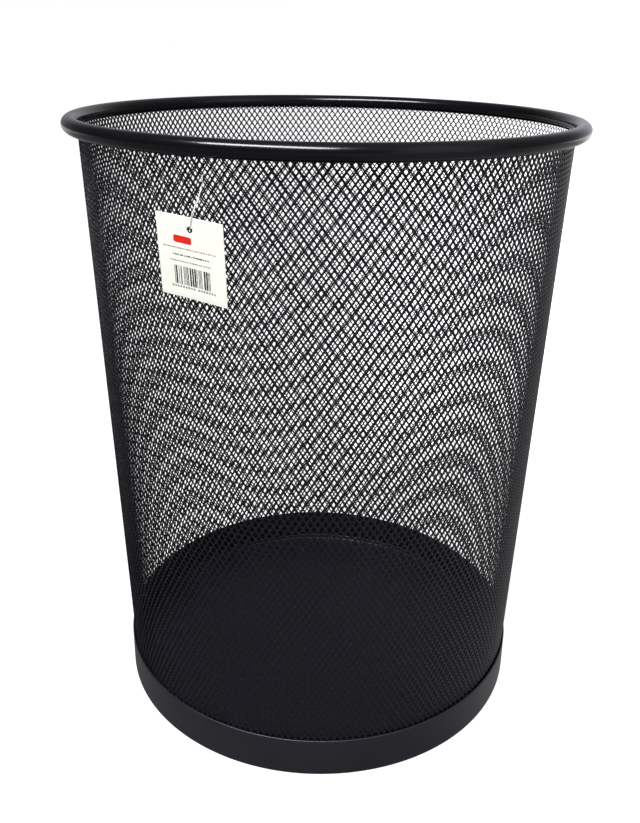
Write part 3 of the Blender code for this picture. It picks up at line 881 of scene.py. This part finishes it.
# dashes under the bars
x = -0.0122
while x < 0.0120:
    mid.append(ink_rect(x, -0.0303, x + 0.0009, -0.0293))
    x += 0.00150 if abs(x) > 0.0008 else 0.0026
for name, bank, mat in (("tag_print_dark", dark, ink_dark), ("tag_print_grey", mid, ink_grey), ("tag_print_red", red, ink_red)):
    ob = object_from_arrays(name, *join_arrays(bank), smooth=False)
    finish_piece(ob, mat, "tag", "card")

# ------------------------------------------------------------ thread
to_hole = HOLE - NODE
knot = NODE + to_hole * 0.40
CROSS_X = 0.0024                           # the thread lies flat on the card's faces up to here, clear of its turned corner
LEG = 0.00045                              # how far its legs lie from the card's middle
cross = HOLE + across * CROSS_X + upward * (DOWN + 0.0026)
part = cross.lerp(knot, 0.10)              # the legs stay apart to here, so that the card can turn between them
meet = cross.lerp(knot, 0.38)
pull = (cross - HOLE).normalized()
e_r = Vector((NODE.x, NODE.y, 0)).normalized()
down_dir = to_hole.normalized()


def plies(points, ply_r, offset, pitch, phase=0.0, closed=False, count=2):
    """Twisted plies round a path."""
    P = np.array([tuple(p) for p in points], float)
    # resample evenly
    if closed:
        P = np.vstack([P, P[:1]])
    d = np.concatenate([[0], np.cumsum(np.linalg.norm(np.diff(P, axis=0), axis=1))])
    n = max(12, int(d[-1] / 0.00016))
    s = np.linspace(0, d[-1], n, endpoint=not closed)
    Q = np.stack([np.interp(s, d, P[:, i]) for i in range(3)], -1)
    T = np.gradient(Q, axis=0)
    T /= np.linalg.norm(T, axis=1)[:, None]
    N = np.zeros_like(Q)
    up = np.array([0.3, 0.5, 0.81])
    N[0] = np.cross(T[0], up)
    N[0] /= np.linalg.norm(N[0])
    for i in range(1, n):
        v = N[i - 1] - T[i] * (N[i - 1] @ T[i])
        N[i] = v / np.linalg.norm(v)
    Bn = np.cross(T, N)
    out = []
    turns = round(d[-1] / pitch) if closed else d[-1] / pitch
    for c_i in range(count):
        a = phase + 2 * np.pi * (turns * s / d[-1] + c_i / count)
        path3 = Q + offset * (np.cos(a)[:, None] * N + np.sin(a)[:, None] * Bn)
        out.append(sweep(path3, ply_r, 6, closed=closed))
    return out


def smooth_path(points, n=60):
    """Catmull-Rom through the points."""
    P = [Vector(p) for p in points]
    P = [P[0] * 2 - P[1]] + P + [P[-1] * 2 - P[-2]]
    out = []
    for i in range(1, len(P) - 2):
        for k in range(n // (len(P) - 3)):
            t = k / (n // (len(P) - 3))
            p0, p1, p2, p3 = P[i - 1], P[i], P[i + 1], P[i + 2]
            out.append(0.5 * ((2 * p1) + (p2 - p0) * t + (2 * p0 - 5 * p1 + 4 * p2 - p3) * t * t + (3 * p1 - p0 - 3 * p2 + p3) * t ** 3))
    out.append(P[-2])
    return out


threads = []
ring_r = 0.0019
e_t = SWING
for shift in (-0.00026, 0.00026):          # two turns round the node
    ring = []
    for i in range(48):
        an = 2 * math.pi * i / 48
        ring.append(NODE + e_r * ring_r * math.cos(an) + Vector((0, 0, 1)) * ring_r * math.sin(an)
                    + e_t * shift * (0.4 + 0.6 * math.cos(an)))
    threads += plies(ring, 0.00012, 0.00010, 0.0014, closed=True)
start = NODE + down_dir * ring_r * 0.96
swerve = e_t * 0.00012
threads += plies(smooth_path([start, start.lerp(knot, 0.4) + swerve, start.lerp(knot, 0.75) - swerve * 0.6, knot]), 0.00015, 0.00013, 0.0015)
threads += plies(smooth_path([knot, knot.lerp(meet, 0.35) - swerve, knot.lerp(meet, 0.7) + swerve * 0.7, meet]), 0.00020, 0.00018, 0.0017)
low = HOLE_R - 0.00035
loop = [meet + FACING * 0.00014, part + FACING * LEG, cross + FACING * LEG]
for f_ in (0.75, 0.5, 0.3):
    loop.append(HOLE + pull * (low + ((cross - HOLE).length - low) * f_) + FACING * LEG)
for i in range(13):
    an = math.pi * i / 12
    loop.append(HOLE + pull * (low + 0.0002 - LEG * 0.8 * math.sin(an)) + FACING * LEG * math.cos(an))
for f_ in (0.3, 0.5, 0.75):
    loop.append(HOLE + pull * (low + ((cross - HOLE).length - low) * f_) - FACING * LEG)
loop += [cross - FACING * LEG, part - FACING * LEG, meet - FACING * 0.00014]
threads += plies(loop, 0.00013, 0.00010, 0.0014)


def overhand(centre, axis, size, ply):
    """A small tight knot: a trefoil of thread round the cord."""
    z = Vector(axis).normalized()
    x = z.orthogonal().normalized()
    y = z.cross(x)
    pts = []
    for i in range(90):
        t = 2 * math.pi * i / 90
        px = math.sin(t) + 2 * math.sin(2 * t)
        py = math.cos(t) - 2 * math.cos(2 * t)
        pz = -math.sin(3 * t)
        pts.append(centre + (x * px + y * py) * size / 3.0 + z * pz * size * 0.75)
    return plies(pts, ply, ply * 0.8, 0.0014, closed=True)


threads += overhand(knot, down_dir, 0.00050, 0.00014)
threads += overhand(meet, pull, 0.00030, 0.00011)
# the knot's two short free ends
for k_i, sgn in enumerate((1.0, -1.0)):
    tip = knot + down_dir * 0.0016 + e_t * sgn * 0.0006 - e_r * 0.0006
    threads += plies(smooth_path([knot + e_t * sgn * 0.0002, knot + down_dir * 0.0008 + e_t * sgn * 0.0005 - e_r * 0.0004, tip]), 0.00011, 0.00008, 0.0012)
thread = object_from_arrays("tag_thread", *join_arrays(threads))
clean(thread)
finish_piece(thread, thread_mat, "string", "thread", "tag_string")

# ------------------------------------------------------------ stage
SEEN_GAIN = 0.75                       # how much over white the backdrop is at the upper right, as the camera sees it
TABLE, TABLE_FAR = 0.22, 0.80          # brightness of the table as the object sees it, near and far behind
ROOM, WALL, CEILING = 0.12, 0.62, 0.25  # reflected brightness: the room round the object, the wall behind the camera, the ceiling
PATCH = 0.60                           # and a wall ahead on the right


def seen_brightness(nt, base):
    """Brightness of the backdrop for camera rays, in window coordinates: white, and over white at the upper right."""
    tc = nt.nodes.new("ShaderNodeTexCoord")
    xyz = nt.nodes.new("ShaderNodeSeparateXYZ")
    nt.links.new(tc.outputs["Window"], xyz.inputs[0])
    parts = []
    for axis, lo, hi in (("X", 0.45, 0.68), ("Y", 0.40, 0.54)):
        m = node(nt, "ShaderNodeMapRange", interpolation_type="SMOOTHSTEP")
        m.inputs["From Min"].default_value, m.inputs["From Max"].default_value = lo, hi
        nt.links.new(xyz.outputs[axis], m.inputs["Value"])
        parts.append(m.outputs["Result"])
    top = node(nt, "ShaderNodeMapRange", interpolation_type="SMOOTHSTEP")
    for k, v in (("From Min", 0.79), ("From Max", 0.83), ("To Min", 1.0), ("To Max", 0.25)):
        top.inputs[k].default_value = v
    nt.links.new(xyz.outputs["Y"], top.inputs["Value"])
    first = node(nt, "ShaderNodeMath", operation="MULTIPLY")
    nt.links.new(parts[0], first.inputs[0])
    nt.links.new(parts[1], first.inputs[1])
    both = node(nt, "ShaderNodeMath", operation="MULTIPLY")
    nt.links.new(first.outputs[0], both.inputs[0])
    nt.links.new(top.outputs["Result"], both.inputs[1])
    scaled = node(nt, "ShaderNodeMath", operation="MULTIPLY_ADD")
    nt.links.new(both.outputs[0], scaled.inputs[0])
    scaled.inputs[1].default_value, scaled.inputs[2].default_value = SEEN_GAIN, base
    return scaled.outputs[0]


floor_me = bpy.data.meshes.new("studio_floor")
nf = 48
xs = np.linspace(-4.0, 4.0, nf + 1)
fv = [(x, y, -0.0001) for x in xs for y in xs]
ff = [(i * (nf + 1) + j, (i + 1) * (nf + 1) + j, (i + 1) * (nf + 1) + j + 1, i * (nf + 1) + j + 1) for i in range(nf) for j in range(nf)]
floor_me.from_pydata(fv, [], ff)
ground = bpy.data.objects.new("studio_floor", floor_me)
bpy.context.scene.collection.objects.link(ground)
gm, gnt, gb = new_material("studio_floor")
gb.inputs["Base Color"].default_value = (0.80, 0.80, 0.80, 1)
gb.inputs["Roughness"].default_value = 0.9
gb.inputs["Specular IOR Level"].default_value = 0.0
g_lp = gnt.nodes.new("ShaderNodeLightPath")
g_out = gnt.nodes["Material Output"]
g_seen = node(gnt, "ShaderNodeEmission")
gnt.links.new(seen_brightness(gnt, 0.98), g_seen.inputs["Strength"])
g_dif = node(gnt, "ShaderNodeBsdfDiffuse", Color=(0.16, 0.16, 0.16, 1))
g_add = gnt.nodes.new("ShaderNodeAddShader")
gnt.links.new(g_seen.outputs[0], g_add.inputs[0])
gnt.links.new(g_dif.outputs[0], g_add.inputs[1])
g_dim = node(gnt, "ShaderNodeEmission")
g_geo = gnt.nodes.new("ShaderNodeNewGeometry")
g_xyz = gnt.nodes.new("ShaderNodeSeparateXYZ")
gnt.links.new(g_geo.outputs["Position"], g_xyz.inputs[0])
g_far = node(gnt, "ShaderNodeMapRange", interpolation_type="SMOOTHSTEP")
for k_, v_ in (("From Min", 0.60), ("From Max", 1.80), ("To Min", TABLE), ("To Max", TABLE_FAR)):
    g_far.inputs[k_].default_value = v_
gnt.links.new(g_xyz.outputs["Y"], g_far.inputs["Value"])
g_side = node(gnt, "ShaderNodeMapRange", interpolation_type="SMOOTHSTEP")
for k_, v_ in (("From Min", 0.05), ("From Max", 0.13), ("To Min", 1.0), ("To Max", 1.9)):
    g_side.inputs[k_].default_value = v_
gnt.links.new(g_xyz.outputs["X"], g_side.inputs["Value"])
g_lit = node(gnt, "ShaderNodeMath", operation="MULTIPLY")
gnt.links.new(g_far.outputs["Result"], g_lit.inputs[0])
gnt.links.new(g_side.outputs["Result"], g_lit.inputs[1])
gnt.links.new(g_lit.outputs[0], g_dim.inputs["Strength"])
g_mix = gnt.nodes.new("ShaderNodeMixShader")
gnt.links.new(g_lp.outputs["Is Camera Ray"], g_mix.inputs["Fac"])
gnt.links.new(g_dim.outputs[0], g_mix.inputs[1])
gnt.links.new(g_add.outputs[0], g_mix.inputs[2])
gnt.links.new(g_mix.outputs[0], g_out.inputs["Surface"])
floor_me.materials.append(gm)

# world: white backdrop for camera rays, a dim room for everything that the object reflects
world = bpy.data.worlds.new("studio")
bpy.context.scene.world = world
world.use_nodes = True
wt = world.node_tree
for n in list(wt.nodes):
    wt.nodes.remove(n)
out = wt.nodes.new("ShaderNodeOutputWorld")
tex = wt.nodes.new("ShaderNodeTexCoord")
# the reflected room, in the camera's own frame: pale wall behind the camera, dim room round the object, mid ceiling
to_cam = wt.nodes.new("ShaderNodeVectorTransform")
to_cam.vector_type, to_cam.convert_from, to_cam.convert_to = "VECTOR", "WORLD", "CAMERA"
wt.links.new(tex.outputs["Generated"], to_cam.inputs[0])
sep = wt.nodes.new("ShaderNodeSeparateXYZ")
wt.links.new(to_cam.outputs[0], sep.inputs[0])
behind = node(wt, "ShaderNodeMapRange", interpolation_type="SMOOTHSTEP")
for k_, v_ in (("From Min", 0.45), ("From Max", 0.95), ("To Min", ROOM), ("To Max", WALL)):
    behind.inputs[k_].default_value = v_
wt.links.new(sep.outputs["Z"], behind.inputs["Value"])
sep_w = wt.nodes.new("ShaderNodeSeparateXYZ")
wt.links.new(tex.outputs["Generated"], sep_w.inputs[0])
ceil = node(wt, "ShaderNodeMapRange", interpolation_type="SMOOTHSTEP")
for k_, v_ in (("From Min", 0.35), ("From Max", 0.9), ("To Min", 0.0), ("To Max", CEILING - ROOM)):
    ceil.inputs[k_].default_value = v_
wt.links.new(sep_w.outputs["Z"], ceil.inputs["Value"])
total = node(wt, "ShaderNodeMath", operation="ADD")
wt.links.new(behind.outputs["Result"], total.inputs[0])
wt.links.new(ceil.outputs["Result"], total.inputs[1])
bg_env = wt.nodes.new("ShaderNodeBackground")
bg_env.inputs["Color"].default_value = (0.94, 0.93, 1.0, 1)
# brighter on the right, as the backdrop is
side_gain = node(wt, "ShaderNodeMapRange")
for k_, v_ in (("From Min", -0.6), ("From Max", 0.6), ("To Min", 0.40), ("To Max", 1.60)):
    side_gain.inputs[k_].default_value = v_
wt.links.new(sep.outputs["X"], side_gain.inputs["Value"])
gained = node(wt, "ShaderNodeMath", operation="MULTIPLY")
wt.links.new(total.outputs[0], gained.inputs[0])
wt.links.new(side_gain.outputs["Result"], gained.inputs[1])
# a bright patch of wall ahead and to the right, seen in the right-hand ends of the rim and the band
patch_x = node(wt, "ShaderNodeMapRange", interpolation_type="SMOOTHSTEP")
for k_, v_ in (("From Min", 0.30), ("From Max", 0.62), ("To Min", 0.0), ("To Max", PATCH)):
    patch_x.inputs[k_].default_value = v_
wt.links.new(sep.outputs["X"], patch_x.inputs["Value"])
patch_z = node(wt, "ShaderNodeMapRange", interpolation_type="SMOOTHSTEP")
for k_, v_ in (("From Min", -0.20), ("From Max", -0.60), ("To Min", 0.0), ("To Max", 1.0)):
    patch_z.inputs[k_].default_value = v_
wt.links.new(sep.outputs["Z"], patch_z.inputs["Value"])
patch = node(wt, "ShaderNodeMath", operation="MULTIPLY_ADD")
wt.links.new(patch_x.outputs["Result"], patch.inputs[0])
wt.links.new(patch_z.outputs["Result"], patch.inputs[1])
wt.links.new(gained.outputs[0], patch.inputs[2])
wt.links.new(patch.outputs[0], bg_env.inputs["Strength"])
bg_cam = wt.nodes.new("ShaderNodeBackground")
bg_cam.inputs["Color"].default_value = (1, 1, 1, 1)
wt.links.new(seen_brightness(wt, 1.0), bg_cam.inputs["Strength"])
lp = wt.nodes.new("ShaderNodeLightPath")
mixs = wt.nodes.new("ShaderNodeMixShader")
wt.links.new(lp.outputs["Is Camera Ray"], mixs.inputs["Fac"])
wt.links.new(bg_env.outputs[0], mixs.inputs[1])
wt.links.new(bg_cam.outputs[0], mixs.inputs[2])
wt.links.new(mixs.outputs[0], out.inputs["Surface"])


def area_light(name, loc, target, sx, sy, power, colour=(1, 1, 1)):
    ld = bpy.data.lights.new(name, "AREA")
    ld.shape = "RECTANGLE"
    ld.size, ld.size_y = sx, sy
    ld.energy = power
    ld.color = colour
    lo = bpy.data.objects.new(name, ld)
    bpy.context.scene.collection.objects.link(lo)
    lo.location = loc
    lo.rotation_mode = "QUATERNION"
    lo.rotation_quaternion = (Vector(target) - Vector(loc)).to_track_quat("-Z", "Y")
    lo.visible_camera = False
    return lo


area_light("soft_key", (-0.46, -0.80, 1.50), (0, 0, 0.34), 1.20, 0.32, 60.0)

# ------------------------------------------------------------ camera
F_PX, CY = 913.495, 265.571
CAM_Y, CAM_Z = -0.53003, 0.39076
PITCH, ROLL, YAW = 0.2530, 0.0149, -0.0046
fw = Vector((math.sin(YAW) * math.cos(PITCH), math.cos(YAW) * math.cos(PITCH), -math.sin(PITCH)))
rt = Vector((math.cos(YAW), -math.sin(YAW), 0.0))
up = rt.cross(fw)
rt2 = rt * math.cos(ROLL) + up * math.sin(ROLL)
up2 = up * math.cos(ROLL) - rt * math.sin(ROLL)
cam_data = bpy.data.cameras.new("camera")
cam = bpy.data.objects.new("camera", cam_data)
bpy.context.scene.collection.objects.link(cam)
m = Matrix((rt2, up2, -fw)).transposed().to_4x4()
m.translation = (0.0, CAM_Y, CAM_Z)
cam.matrix_world = m
cam_data.sensor_width = 36.0
cam_data.lens = F_PX * 36.0 / 823.0
cam_data.clip_start, cam_data.clip_end = 0.01, 50.0
# the lens shift belongs to this viewpoint only: seen from anywhere else the object stays centred
drv = cam_data.driver_add("shift_y").driver
drv.type = "SCRIPTED"
for nm, chan in (("px", "LOC_X"), ("py", "LOC_Y"), ("pz", "LOC_Z")):
    v = drv.variables.new()
    v.name = nm
    v.type = "TRANSFORMS"
    v.targets[0].id = cam
    v.targets[0].transform_type = chan
    v.targets[0].transform_space = "WORLD_SPACE"
drv.expression = "%.6f if abs(px) < 0.01 and abs(py - %.5f) < 0.01 and abs(pz - %.5f) < 0.01 else 0.0" % (
    -(411.0 - CY) / 823.0, CAM_Y, CAM_Z)
bpy.context.scene.camera = cam
bpy.context.scene.view_settings.view_transform = "Standard"
bpy.context.scene.view_settings.look = "None"
